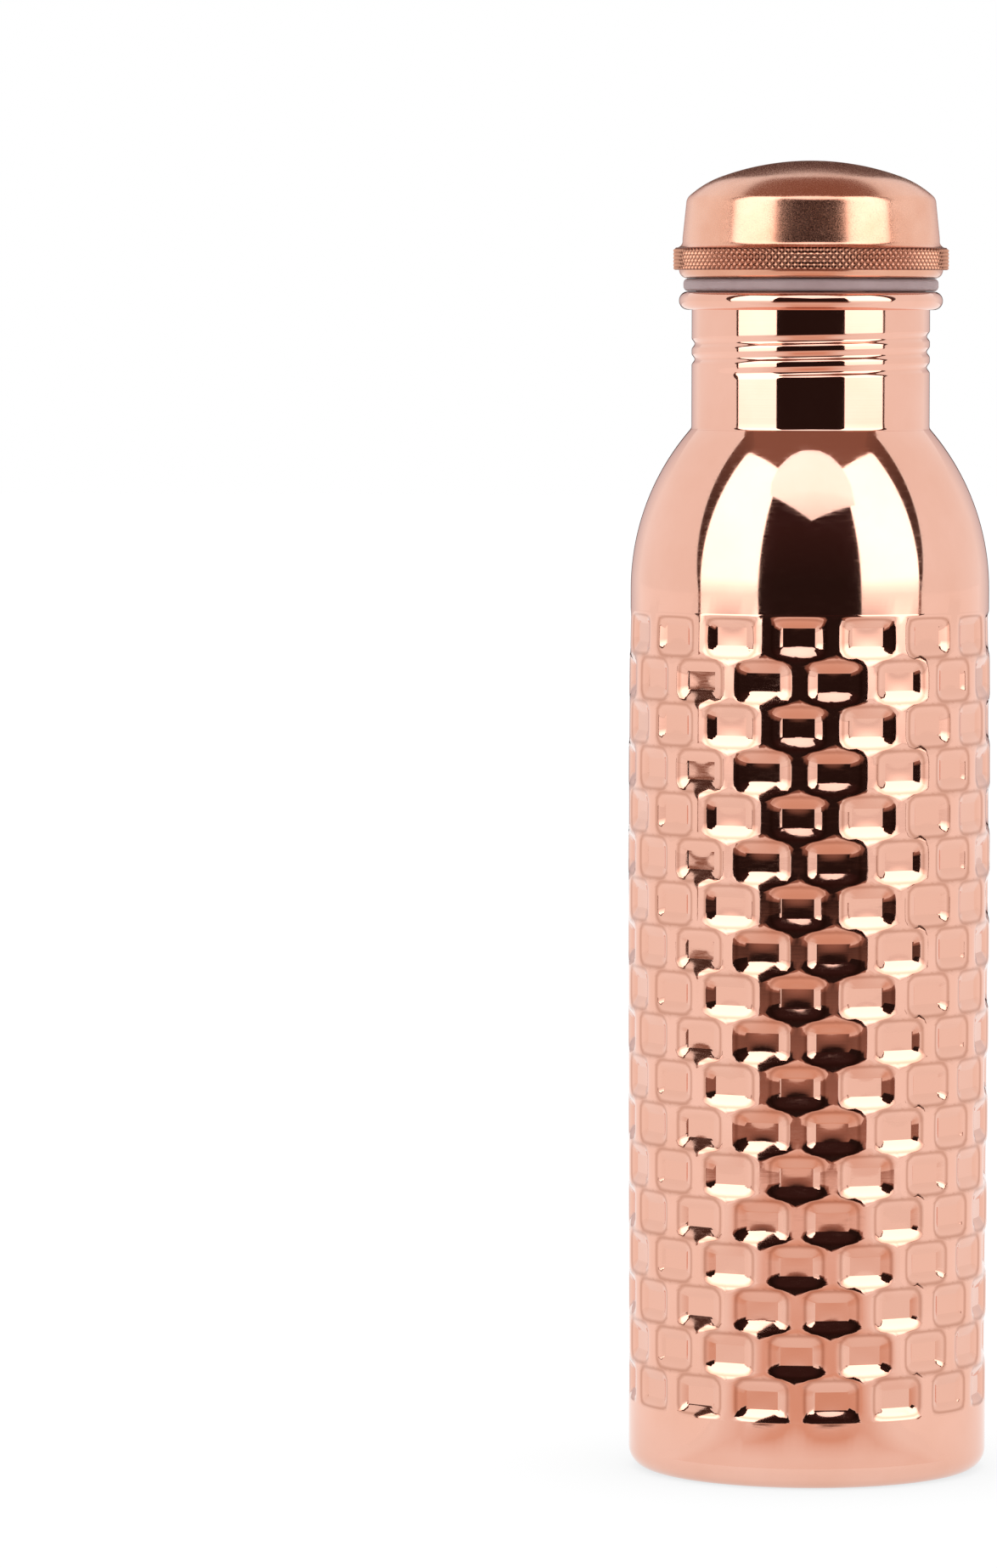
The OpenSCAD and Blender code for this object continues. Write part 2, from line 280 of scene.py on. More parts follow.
def dimple(row, side_steps, top_steps):
    """Flat sketch of a cell, as points and faces: a grid on its floor, then rings out to the ridge line."""
    half_w = FLOOR_W / 2
    half_h = FLOOR_H / 2
    across = np.linspace(-1, 1, 2 * top_steps + 1)
    up = np.linspace(-1, 1, side_steps + 1)
    n = len(across)
    points = [(half_w * s, half_h * t) for t in up for s in across]
    faces = []
    for i in range(side_steps):
        for j in range(n - 1):
            a = i * n + j
            faces.append([a, a + 1, a + n + 1, a + n])

    def edge(t, flat):
        return ROW_PITCH / 2 if flat else ridge_line(HALF_CELL * t)

    top = row == ROWS - 1
    low = row == 0
    high_corner = edge(1, top)
    low_corner = -edge(1, low)
    last = side_steps * n
    loop = [(j, (HALF_CELL * across[j], -edge(across[j], low))) for j in range(n - 1)]
    side = [low_corner + (high_corner - low_corner) * i / side_steps for i in range(side_steps + 1)]
    loop += [(i * n + n - 1, (HALF_CELL, side[i])) for i in range(side_steps)]
    loop += [(last + j, (HALF_CELL * across[j], edge(across[j], top))) for j in range(n - 1, 0, -1)]
    loop += [(i * n, (-HALF_CELL, side[i])) for i in range(side_steps, 0, -1)]
    ring = [inner for inner, _ in loop]
    for share in RING_STEPS[1:]:
        clear_of_cut_shade = []
        for inner, ridge in loop:
            clear_of_cut_shade.append(len(points))
            points.append(tuple(np.array(points[inner]) * (1 - share) + np.array(ridge) * share))
        for j in range(len(loop)):
            k = (j + 1) % len(loop)
            faces.append([ring[j], clear_of_cut_shade[j], clear_of_cut_shade[k], ring[k]])
        ring = clear_of_cut_shade
    return np.array(points), faces


def embossed_face(side_steps, top_steps):
    """Turns, heights and faces of the whole outer face."""
    turns = []
    heights = []
    faces = []
    count = 0
    for row in range(ROWS):
        sketch, cell_faces = dimple(row, side_steps, top_steps)
        for column in range(PER_ROW):
            turn, z = cell_centre(row, column)
            turns.append(turn + sketch[:, 0] / (2 * HALF_CELL) * CELL_TURN)
            heights.append(z + sketch[:, 1])
            faces += [[v + count for v in face] for face in cell_faces]
            count += len(sketch)
    return np.concatenate(turns), np.concatenate(heights), faces


def around(turn, z, r):
    """Points at directions, heights and radii."""
    a = np.radians(turn)
    return np.stack([r * np.cos(a), r * np.sin(a), z], axis=-1)


def join(parts):
    """Joins several point and face lists into one."""
    points = []
    faces = []
    count = 0
    for p, f in parts:
        faces += [[v + count for v in face] for face in f]
        points.append(np.asarray(p))
        count += len(p)
    return np.concatenate(points), faces


def exact_normals(mesh):
    """Gives the embossed outer face the normals of its formula, taken just inside each facet."""
    places = np.zeros(len(mesh.vertices) * 3)
    mesh.vertices.foreach_get("co", places)
    places = places.reshape(-1, 3) / MM
    points = np.zeros(len(mesh.loops), dtype=int)
    mesh.loops.foreach_get("vertex_index", points)
    owner = np.repeat(np.arange(len(mesh.polygons)), [p.loop_total for p in mesh.polygons])
    centres = np.array([p.center[:] for p in mesh.polygons]) / MM
    inward = 0.03
    spot = places[points] * (1 - inward) + centres[owner] * inward
    turn = np.degrees(np.arctan2(spot[:, 1], spot[:, 0]))
    r = np.hypot(spot[:, 0], spot[:, 1])
    z = np.clip(spot[:, 2], PATTERN_BOTTOM, PATTERN_TOP)
    field = (spot[:, 2] > PATTERN_BOTTOM) & (spot[:, 2] < PATTERN_TOP)
    field &= r > shell_r(turn, z) - WALL / 2
    corners = np.where(field[:, None], shell_normal(turn, z), 0)
    mesh.normals_split_custom_set(corners.tolist())


def body_shell(material):
    """The shell: embossed field, shoulder, and the corner turned in to the foot ring."""
    side_steps = 4
    top_steps = 5
    columns = 2 * PER_ROW * top_steps
    start = FRONT + PATTERN_TURN
    mouth = math.degrees(math.acos((NECK_R - SHOULDER_X) / SHOULDER_BEND))
    mouth_in = math.degrees(math.acos((NECK_R - SHOULDER_X) / (SHOULDER_BEND - WALL)))
    inner_r = BODY_R - WALL
    upper = [(BODY_R, PATTERN_TOP)]
    upper += arc(SHOULDER_X, SHOULDER_Z, SHOULDER_BEND, 0, mouth, 22)
    upper += arc(SHOULDER_X, SHOULDER_Z, SHOULDER_BEND - WALL, mouth_in, 0, 12)
    upper += [(inner_r, PATTERN_TOP)]
    lower = [(inner_r, PATTERN_BOTTOM)]
    lower += arc(BODY_R - FOOT_CORNER, FOOT_CORNER, FOOT_CORNER - WALL, 0, -90, 5)
    lower += [(FOOT_RING_INNER, WALL), (FOOT_RING_INNER, 0)]
    lower += arc(BODY_R - FOOT_CORNER, FOOT_CORNER, FOOT_CORNER, -90, 0, 9)
    lower += [(BODY_R, PATTERN_BOTTOM)]
    parts = []
    for profile in (upper, lower):
        radii = [[p[0]] * columns for p in profile]
        heights = [[p[1]] * columns for p in profile]
        parts.append(lathe(radii, heights, start, closed=False))
    turn, z, faces = embossed_face(side_steps, top_steps)
    parts.append((around(turn, z, shell_r(turn, z)), faces))
    grid_z = np.linspace(PATTERN_TOP, PATTERN_BOTTOM, side_steps * ROWS + 1)[:, None] + np.zeros(columns)
    grid_turn = start + 360.0 * np.arange(columns) / columns + np.zeros(grid_z.shape)
    parts.append(lathe(shell_r(grid_turn, grid_z) - WALL, grid_z, start, closed=False))
    points, faces = compact(*join(parts))
    obj = piece("embossed_shell", points, faces, "bottle", material, ["body_shell"])
    exact_normals(obj.data)
    return obj


# ---------------------------------------------------------------- neck


def groove(turn, z, first, last):
    """Depth of the rolled groove at a direction, in turns from the front, and a height."""
    s = turn + np.round((z - THREAD_Z) / PITCH - turn)
    off = z - THREAD_Z - PITCH * s
    ends = np.clip((s - first) / THREAD_FADE, 0, 1) * np.clip((last - s) / THREAD_FADE, 0, 1)
    ends = ends * ends * (3 - 2 * ends)
    shape = np.where(abs(off) < GROOVE_W / 2, (1 + np.cos(2 * np.pi * off / GROOVE_W)) / 2, 0)
    return THREAD_DEPTH * ends * shape


def threaded(profile, columns, first, last):
    """A turned solid whose marked points, (radius, height, True), carry the rolled thread."""
    turn = np.arange(columns) / columns
    radii = []
    heights = []
    for p in profile:
        depth = groove(turn, p[1], first, last) if len(p) > 2 else np.zeros(columns)
        radii.append(p[0] - depth)
        heights.append(np.full(columns, p[1]))
    return compact(*lathe(radii, heights))


def rolled(r, low, high, step):
    """Closely spaced points that carry the thread, from low to high or from high to low."""
    count = int(round(abs(high - low) / step))
    return [(r, z, True) for z in np.linspace(low, high, count + 1)]


def neck_collar(material):
    """The neck: a fillet on the shoulder, the rolled thread inside and out, and the lip's bead."""
    fillet_x = NECK_R + NECK_FILLET
    fillet_z = SHOULDER_Z + math.sqrt((SHOULDER_BEND + NECK_FILLET) ** 2 - (fillet_x - SHOULDER_X) ** 2)
    tilt = math.degrees(math.atan2(fillet_z - SHOULDER_Z, fillet_x - SHOULDER_X))
    mouth = math.degrees(math.acos((NECK_R - SHOULDER_X) / SHOULDER_BEND))
    bead_z = LIP_TOP - BEAD
    bead_x = LIP_R - BEAD
    under = -math.degrees(math.acos((NECK_R - bead_x) / BEAD))
    inside = math.degrees(math.acos((NECK_BORE - bead_x) / BEAD))
    margin = 0.2
    low = THREAD_Z + THREAD_FROM * PITCH - GROOVE_W / 2 - margin
    high = low + THREAD_TURNS * PITCH + GROOVE_W + 2 * margin
    profile = [(NECK_BORE, SKIRT_LOW), (NECK_R, SKIRT_LOW)]
    profile += arc(SHOULDER_X, SHOULDER_Z, SHOULDER_BEND + SEAM, mouth, tilt, 3)
    profile += arc(fillet_x, fillet_z, NECK_FILLET, 180 + tilt, 180, 8)
    profile += line((NECK_R, fillet_z + 1), (NECK_R, low), 4)
    profile += rolled(NECK_R, low, high, THREAD_STEP)
    profile += line((NECK_R, high + 0.5), (NECK_R, bead_z - BEAD), 3)
    profile += arc(bead_x, bead_z, BEAD, under, inside, 32)
    profile += rolled(NECK_BORE, high, low, 2 * THREAD_STEP)
    points, faces = threaded(profile, COLUMNS, THREAD_FROM, THREAD_FROM + THREAD_TURNS)
    return piece("neck", points, faces, "bottle", material, ["neck_collar"], crease=40)


def base_plate(material):
    """The stamped bottom disc: a seat on the foot, a step up, a raised ring and a shallow crown."""
    rim_r = BODY_R - FOOT_CORNER
    step_in = 1.6
    step_r = FOOT_RING_INNER - step_in
    lift = 2.4
    crown = 0.8
    low = WALL + lift
    under = [(0, low + crown), (step_r / 3, low + crown * 0.9), (step_r * 0.66, low + crown * 0.55)]
    under += [(step_r * 0.72, low + crown * 0.4), (step_r * 0.74, low + crown * 0.4 - 0.25)]
    under += [(step_r * 0.78, low + crown * 0.25), (step_r - 2, low), (step_r - 1.6, low - 0.2)]
    under += [(step_r - 0.3, WALL + 0.25), (step_r, WALL), (rim_r, WALL)]
    over = [(rim_r, 2 * WALL), (step_r + WALL, 2 * WALL), (step_r - 2 + WALL, 2 * WALL + lift)]
    over += [(step_r / 2, 2 * WALL + lift + crown * 0.75), (0, 2 * WALL + lift + crown)]
    points, faces = turned(under + over)
    return piece("base_disc", points, faces, "bottle", material, ["base_plate"], crease=50)


# ---------------------------------------------------------------- gasket and cap


def gasket(material):
    """The silicone ring on the plug, with rounded outer corners."""
    low = LIP_TOP + SEAT_GAP
    high = UNDER_LIP_Z - SEAT_GAP
    middle = low + (high - low) / 2
    corner_x = GASKET_R - GASKET_CORNER
    bore = PLUG_R + GASKET_FIT
    profile = [(bore, low), (bore + 1, low)]
    profile += arc(corner_x, low + GASKET_CORNER, GASKET_CORNER, -90, 0, 7)
    profile += arc(corner_x, high - GASKET_CORNER, GASKET_CORNER, 0, 90, 7)
    profile += [(bore + 1, high), (bore, high), (bore, middle)]
    points, faces = turned(profile)
    return piece("silicone_ring", points, faces, "gasket", material, ["gasket"])


def cap_dome(material):
    """The drawn dome: inner skirt, step, leaning side, small corner, haunch and crown."""
    skirt_r = BAND_R - BAND_SHEET
    foot_z = FLANGE_Z + FLANGE_T
    step_z = BAND_HIGH
    crown_z = CAP_TOP - CROWN_BEND
    slope = math.radians(CROWN_TURN)
    haunch_x = (CROWN_BEND - HAUNCH_BEND) * math.sin(slope)
    haunch_z = crown_z + (CROWN_BEND - HAUNCH_BEND) * math.cos(slope)
    corner_x = CAP_R_TOP - CAP_CORNER
    tilt = math.degrees(math.acos((corner_x - haunch_x) / (HAUNCH_BEND - CAP_CORNER)))
    corner_z = haunch_z + (HAUNCH_BEND - CAP_CORNER) * math.sin(math.radians(tilt))
    side_low = step_z + CAP_STEP
    profile = [(skirt_r - CAP_WALL, foot_z), (skirt_r, foot_z)]
    profile += arc(skirt_r, side_low, CAP_STEP, 270, 180, 8)
    profile += line((CAP_R_LOW, side_low + 0.6), (CAP_R_TOP, corner_z), 6)
    profile += arc(corner_x, corner_z, CAP_CORNER, 0, tilt, 12)
    profile += arc(haunch_x, haunch_z, HAUNCH_BEND, tilt, 90 - CROWN_TURN, 12)[1:]
    profile += arc(0, crown_z, CROWN_BEND, 90 - CROWN_TURN, 90, 14)[1:]
    profile += arc(0, crown_z, CROWN_BEND - CAP_WALL, 90, 90 - CROWN_TURN, 7)
    profile += arc(haunch_x, haunch_z, HAUNCH_BEND - CAP_WALL, 90 - CROWN_TURN, tilt, 6)[1:]
    profile += arc(corner_x, corner_z, CAP_CORNER - CAP_WALL, tilt, 0, 5)[1:]
    profile += [(CAP_R_LOW - CAP_WALL, step_z - CAP_WALL), (skirt_r - CAP_WALL, step_z - CAP_WALL)]
    points, faces = turned(profile)
    return piece("dome", points, faces, "cap", material, ["cap_dome"], crease=40)


def triangle_wave(t):
    """Rises from 0 to 1 and falls back over each whole step of t."""
    return 1 - abs(2 * (t % 1) - 1)


def cap_band(material):
    """The crimped band, with its diamond knurl cut into the outer face."""
    facets = 6
    edge_drop = 0.3
    edge_width = 0.45
    columns = KNURL_COUNT * facets
    skirt_r = BAND_R - BAND_SHEET
    turn = np.arange(columns) / columns
    top = BAND_HIGH
    inner_low = FLANGE_Z - SEAM
    outer = [(skirt_r + 0.1, top), (skirt_r, inner_low), (UNDER_LIP_R + WALL, inner_low)]
    outer += [(UNDER_LIP_R, UNDER_LIP_Z + 0.7), (UNDER_LIP_R, UNDER_LIP_Z)]
    outer += [(UNDER_LIP_R + LIP_ROLL * math.sin(a), BAND_LOW - LIP_DROP * math.cos(a))
              for a in np.radians(np.linspace(10, 90, 9))]
    radii = [np.full(columns, p[0]) for p in outer]
    heights = [np.full(columns, p[1]) for p in outer]
    steps = 40
    face_low = BAND_LOW - 0.1
    face_high = BAND_HIGH - 0.15
    for z in np.linspace(face_low, face_high, steps + 1):
        up = triangle_wave(turn * KNURL_COUNT + z / KNURL_ROW)
        down = triangle_wave(turn * KNURL_COUNT - z / KNURL_ROW)
        height = np.minimum(np.minimum(up, down), KNURL_FLAT)
        edge = min(z - face_low, face_high - z)
        rounding = edge_drop * max(0.0, 1 - edge / edge_width) ** 2
        radii.append(BAND_R - rounding - KNURL_DEPTH * (1 - height / KNURL_FLAT))
        heights.append(np.full(columns, z))
    points, faces = compact(*lathe(radii, heights))
    return piece("knurled_band", points, faces, "cap", material, ["cap_band"], crease=25)


def cap_plug(material):
    """The threaded cup under the dome, closed below; its groove runs out of the lower end."""
    skirt_r = BAND_R - BAND_SHEET
    end_r = PLUG_ROOT - 0.05
    corner = 1.2
    thread_low = PLUG_LOW + 1.6
    thread_high = 237.2
    bore = PLUG_R - PLUG_WALL
    dent_r = 9
    dent_z = PLUG_LOW + 0.5
    profile = [(0, dent_z), (dent_r, dent_z), (dent_r + 1, PLUG_LOW), (16, PLUG_LOW)]
    profile += arc(end_r - corner, PLUG_LOW + corner, corner, -90, 0, 8)
    profile += [(end_r, thread_low - 0.1)]
    profile += rolled(PLUG_R, thread_low, thread_high, THREAD_STEP)
    profile += line((PLUG_R, thread_high + 0.5), (PLUG_R, FLANGE_Z), 4)
    profile += [(PLUG_R, FLANGE_Z), (skirt_r, FLANGE_Z)]
    profile += [(skirt_r, FLANGE_Z + FLANGE_T), (bore, FLANGE_Z + FLANGE_T)]
    profile += rolled(bore, thread_high, thread_low, 2 * THREAD_STEP)
    profile += [(end_r - PLUG_WALL, PLUG_LOW + corner), (end_r - corner, PLUG_LOW + PLUG_WALL)]
    profile += [(dent_r + 1, PLUG_LOW + PLUG_WALL), (dent_r, dent_z + PLUG_WALL), (0, dent_z + PLUG_WALL)]
    first_turn = -3  # below the lower end, so that the groove runs out of it
    last_turn = 2.9
    points, faces = threaded(profile, COLUMNS, first_turn, last_turn)
    return piece("plug", points, faces, "cap", material, ["cap_plug"], crease=40)


# ---------------------------------------------------------------- materials


class Look:
    """A small helper round one node material."""

    def __init__(self, name):
        self.material = bpy.data.materials.new(name)
        self.material.use_nodes = True
        self.tree = self.material.node_tree
        self.shader = self.tree.nodes["Principled BSDF"]
        self.where = self.new("ShaderNodeTexCoord").outputs["Object"]

    def new(self, kind, **inputs):
        """A node of a kind, with values or links for its named inputs."""
        node = self.tree.nodes.new(kind)
        for key, value in inputs.items():
            self.feed(node.inputs[key.replace("_", " ")], value)
        return node

    def feed(self, socket, value):
        """Gives an input a link if the value is another node's output, or else a constant."""
        if isinstance(value, bpy.types.NodeSocket):
            self.tree.links.new(value, socket)
        else:
            socket.default_value = value

    def math(self, operation, a, b=0.0):
        """The result of one operation on one or two values."""
        node = self.tree.nodes.new("ShaderNodeMath")
        node.operation = operation
        self.feed(node.inputs[0], a)
        self.feed(node.inputs[1], b)
        return node.outputs[0]

    def scaled(self, x, y, z):
        """Object coordinates, stretched: bigger numbers give finer grain along that axis."""
        node = self.new("ShaderNodeMapping", Vector=self.where)
        node.inputs["Scale"].default_value = (x, y, z)
        return node.outputs["Vector"]

    def height(self):
        """Height over the table, in metres."""
        return self.new("ShaderNodeSeparateXYZ", Vector=self.where).outputs["Z"]

    def radius(self):
        """Distance from the bottle's axis, in metres."""
        xyz = self.new("ShaderNodeSeparateXYZ", Vector=self.where)
        square_x = self.math("MULTIPLY", xyz.outputs["X"], xyz.outputs["X"])
        square_y = self.math("MULTIPLY", xyz.outputs["Y"], xyz.outputs["Y"])
        return self.math("SQRT", self.math("ADD", square_x, square_y))

    def sideways(self):
        """How far round to either side of the line through bottle and camera: 0 on it and 1 square to it."""
        xyz = self.new("ShaderNodeSeparateXYZ", Vector=self.where)
        return self.math("ABSOLUTE", self.math("DIVIDE", xyz.outputs["X"], self.radius()))

    def glow(self, colour):
        """Turns the surface into a source of even light that reflects nothing."""
        self.shader.inputs["Base Color"].default_value = (0, 0, 0, 1)
        self.shader.inputs["Specular IOR Level"].default_value = 0.0
        self.feed(self.shader.inputs["Emission Color"], colour)
        self.shader.inputs["Emission Strength"].default_value = 1.0
        return self.material

    def round_axis(self, radial, height):
        """Coordinates that hardly change on the way round, so that grain runs in rings."""
        drift = 12.0
        xyz = self.new("ShaderNodeSeparateXYZ", Vector=self.where)
        joined = self.new("ShaderNodeCombineXYZ")
        self.feed(joined.inputs["X"], self.math("MULTIPLY", self.radius(), radial))
        self.feed(joined.inputs["Y"], self.math("MULTIPLY", xyz.outputs["X"], drift))
        self.feed(joined.inputs["Z"], self.math("MULTIPLY", xyz.outputs["Z"], height))
        return joined.outputs["Vector"]

    def noise(self, vector, scale, detail=3.0, roughness=0.55):
        """Cloudy grain between 0 and 1."""
        node = self.new("ShaderNodeTexNoise", Vector=vector)
        node.inputs["Scale"].default_value = scale
        node.inputs["Detail"].default_value = detail
        node.inputs["Roughness"].default_value = roughness
        return node.outputs["Fac"]

    def ramp(self, value, low, high, start=0.0, end=1.0):
        """Runs from low to high while the value goes from start to end, and stays level outside."""
        node = self.new("ShaderNodeMapRange", Value=value)
        node.inputs["From Min"].default_value = start
        node.inputs["From Max"].default_value = end
        node.inputs["To Min"].default_value = low
        node.inputs["To Max"].default_value = high
        return node.outputs["Result"]

    def blend(self, amount, a, b):
        """Colour a at amount 0, colour b at amount 1."""
        node = self.tree.nodes.new("ShaderNodeMix")
        node.data_type = "RGBA"
        self.feed(node.inputs["Factor"], amount)
        self.feed(node.inputs[6], a)
        self.feed(node.inputs[7], b)
        return node.outputs[2]

    def bump(self, height, distance, strength=1.0, under=None):
        """Relief from a grain, on top of another relief if one is given."""
        node = self.new("ShaderNodeBump", Height=height)
        node.inputs["Distance"].default_value = distance
        node.inputs["Strength"].default_value = strength
        if under is not None:
            self.feed(node.inputs["Normal"], under)
        return node.outputs["Normal"]


COPPER = (0.88, 0.505, 0.395, 1)
AGED_COPPER = (0.84, 0.46, 0.345, 1)
WHITE = (1, 1, 1, 1)


def metal(name, bright, aged, rough_low, rough_high, grain=(140, 140, 60)):
    """Copper with a faintly mottled colour and gloss, ready for surface marks."""
    look = Look(name)
    mottle = look.noise(look.where, scale=55.0, detail=4.0)
    look.colour = look.blend(look.ramp(mottle, 0, 1, start=0.35, end=0.75), bright, aged)
    look.feed(look.shader.inputs["Base Color"], look.colour)
    look.shader.inputs["Metallic"].default_value = 1.0
    smear = look.noise(look.scaled(*grain), scale=1.0, detail=5.0)
    look.feed(look.shader.inputs["Roughness"], look.ramp(smear, rough_low, rough_high, start=0.3, end=0.75))
    return look


def below_crest(look):
    """How deep a point of the shell lies under its crest circle, by the same formula as crest_r."""
    share = look.ramp(look.height(), 1, 0, start=PATTERN_BOTTOM * MM, end=PATTERN_TOP * MM)
    bow = look.math("SINE", look.math("MULTIPLY", look.math("POWER", share, SWELL_POWER), math.pi))
    crest = look.math("ADD", look.math("MULTIPLY", bow, CREST_SWELL * MM), BODY_R * MM)
    return look.math("SUBTRACT", crest, look.radius())


def polished_copper():
    """Buffed mirror copper of the embossed shell with hairlines, and painted light: floors painted darker and
    redder as shade in the recesses, and a painted dark line by the ridges that stands in for reflected dark
    flags.
    """
    border = 0.5
    grain = (420, 420, 2400)
    look = metal("polished_copper", COPPER, AGED_COPPER, rough_low=0.03, rough_high=0.11, grain=grain)
    above = look.ramp(look.height(), 0, 1, start=PATTERN_TOP * MM, end=(PATTERN_TOP + border) * MM)
    below = look.ramp(look.height(), 1, 0, start=(PATTERN_BOTTOM - border) * MM, end=PATTERN_BOTTOM * MM)
    depth = below_crest(look)
    crest = look.ramp(depth, 1, 0, start=0.1 * MM, end=0.9 * MM)
    plain = look.math("MAXIMUM", above, below)
    # painted shade: the floors and walls take a darker, redder copper than the crests and the plain bands
    recess_painted_shade = look.blend(look.math("MAXIMUM", crest, plain), (0.82, 0.45, 0.34, 1), look.colour)
    rim_high = look.ramp(depth, 0, 1, start=0.08 * MM, end=0.20 * MM)
    rim_low = look.ramp(depth, 1, 0, start=0.24 * MM, end=0.42 * MM)
    rim = look.math("SUBTRACT", look.math("MULTIPLY", rim_low, rim_high), plain)
    # painted reflection: a thin dark line just under the crests stands in for the dark flags seen in the
    # ridges
    painted_dark_outline = look.blend(look.ramp(rim, 0, 0.55), recess_painted_shade, (0.44, 0.18, 0.11, 1))
    look.feed(look.shader.inputs["Base Color"], painted_dark_outline)
    ripple = look.noise(look.scaled(60, 60, 60), scale=1.0, detail=1.0)
    soft = look.bump(ripple, distance=0.00003, strength=0.4)
    hairs = look.noise(look.scaled(90, 90, 2600), scale=1.0, detail=2.0)
    look.feed(look.shader.inputs["Normal"], look.bump(hairs, distance=0.000002, strength=0.5, under=soft))
    return look.material


def neck_copper():
    """The same bright copper with the fine rings that spinning leaves round the neck."""
    look = metal("neck_copper", COPPER, AGED_COPPER, rough_low=0.03, rough_high=0.07)
    rings = look.noise(look.round_axis(radial=900, height=2600), scale=1.0, detail=3.0)
    look.feed(look.shader.inputs["Normal"], look.bump(rings, distance=0.000004, strength=0.6))
    return look.material


def cap_copper():
    """Fine-brushed copper of the dome: rings of brush marks and a softer gloss."""
    bright = (0.86, 0.48, 0.35, 1)
    aged = (0.72, 0.31, 0.19, 1)
    look = metal("cap_copper", bright, aged, rough_low=0.07, rough_high=0.42, grain=(5000, 5000, 9000))
    rings = look.noise(look.round_axis(radial=2200, height=3200), scale=1.0, detail=4.0, roughness=0.7)
    marks = look.bump(rings, distance=0.000008, strength=0.7)
    dings = look.noise(look.scaled(160, 160, 160), scale=1.0, detail=2.0)
    look.feed(look.shader.inputs["Normal"], look.bump(dings, distance=0.00003, strength=0.35, under=marks))
    return look.material


def knurled_copper():
    """Copper of the grip: painted shade makes the cuts nearly black, while the points and the smooth lower
    edge keep the copper colour.
    """
    bright = (0.80, 0.42, 0.29, 1)
    aged = (0.66, 0.31, 0.20, 1)
    look = metal("knurled_copper", bright, aged, rough_low=0.14, rough_high=0.26)
    points = look.ramp(look.radius(), 0, 1, start=(BAND_R - KNURL_DEPTH) * MM, end=BAND_R * MM)
    smooth = look.ramp(look.height(), 1, 0, start=(BAND_LOW - 0.2) * MM, end=BAND_LOW * MM)
    clear_of_cut_shade = look.math("MAXIMUM", points, smooth)
    # painted shade in the knurl's cuts: dark copper-brown wherever the surface lies below the points
    look.feed(look.shader.inputs["Base Color"], look.blend(clear_of_cut_shade, (0.16, 0.05, 0.03, 1), look.colour))
    grain = look.noise(look.scaled(1500, 1500, 1500), scale=1.0, detail=2.0)
    look.feed(look.shader.inputs["Normal"], look.bump(grain, distance=0.00001, strength=0.5))
    return look.material


def base_copper():
    """Satin copper of the underside, with spinning rings and rub marks."""
    bright = (0.80, 0.45, 0.34, 1)
    aged = (0.64, 0.32, 0.22, 1)
    look = metal("base_copper", bright, aged, rough_low=0.18, rough_high=0.36)
    rings = look.noise(look.round_axis(radial=1400, height=600), scale=1.0, detail=3.0)
    marks = look.bump(rings, distance=0.00002, strength=0.6)
    rubs = look.noise(look.scaled(300, 900, 300), scale=1.0, detail=3.0)
    look.feed(look.shader.inputs["Normal"], look.bump(rubs, distance=0.00001, strength=0.5, under=marks))
    return look.material


def plug_copper():
    """Drawn copper of the plug: duller, with drawing lines up its sides."""
    bright = (0.78, 0.43, 0.32, 1)
    aged = (0.66, 0.33, 0.23, 1)
    look = metal("plug_copper", bright, aged, rough_low=0.16, rough_high=0.30)
    lines = look.noise(look.scaled(1200, 1200, 60), scale=1.0, detail=3.0)
    look.feed(look.shader.inputs["Normal"], look.bump(lines, distance=0.00001, strength=0.5))
    return look.material


def silicone():
    """Milky, slightly see-through silicone with a fine matt skin."""
    look = Look("silicone")
    cloud = look.noise(look.scaled(220, 220, 220), scale=1.0, detail=3.0)
    # partly painted reflection: the cloudy milk is the silicone's own, and its pink tint stands in for the
    # copper round the ring
    milk_with_painted_copper_tint = look.blend(cloud, (0.45, 0.30, 0.295, 1), (0.58, 0.42, 0.42, 1))
    look.feed(look.shader.inputs["Base Color"], milk_with_painted_copper_tint)
    look.shader.inputs["Transmission Weight"].default_value = 0.25
    look.shader.inputs["Subsurface Weight"].default_value = 0.35
    look.shader.inputs["Subsurface Radius"].default_value = (0.002, 0.0016, 0.0016)
    look.shader.inputs["Subsurface Scale"].default_value = 0.5
    look.shader.inputs["IOR"].default_value = 1.41
    skin = look.noise(look.scaled(1800, 1800, 1800), scale=1.0, detail=2.0)
    look.feed(look.shader.inputs["Roughness"], look.ramp(skin, 0.34, 0.5))
    look.feed(look.shader.inputs["Normal"], look.bump(skin, distance=0.00002, strength=0.5))
    return look.material


# ---------------------------------------------------------------- table, light and camera


def cloth(name, bottom, top, low, high, flat=False):
    """A glowing cloth whose light changes with height or, when flat, with distance from the bottle."""
    look = Look(name)
    share = look.ramp(look.radius() if flat else look.height(), 0.0, 1.0, start=low, end=high)
    return look.glow(look.blend(share, bottom, top))


def card(name, corners, material, shade=False):
    """A flat studio panel, given by its corners in metres, that only shows in the object's reflections."""
    mesh = bpy.data.meshes.new(name)
    mesh.from_pydata(corners, [], [list(range(len(corners)))])
    obj = bpy.data.objects.new(name, mesh)
    bpy.context.scene.collection.objects.link(obj)
    obj.data.materials.append(material)
    obj.visible_camera = False
    obj.visible_shadow = shade
    obj.visible_diffuse = shade
    return obj


def table():
    """The white table: pale, lit from below its cloth, so that shadows on it stay faint."""
    look = Look("table_white")
    look.shader.inputs["Base Color"].default_value = (0.25, 0.25, 0.25, 1)
    look.shader.inputs["Roughness"].default_value = 0.8
    look.shader.inputs["Specular IOR Level"].default_value = 0.0
    look.shader.inputs["Emission Color"].default_value = WHITE
    look.shader.inputs["Emission Strength"].default_value = 0.8
    reach = 8
    corners = [(-reach, -reach, 0), (reach, -reach, 0), (reach, reach, 0), (-reach, reach, 0)]
    obj = card("table", corners, look.material, shade=True)
    obj.visible_camera = True


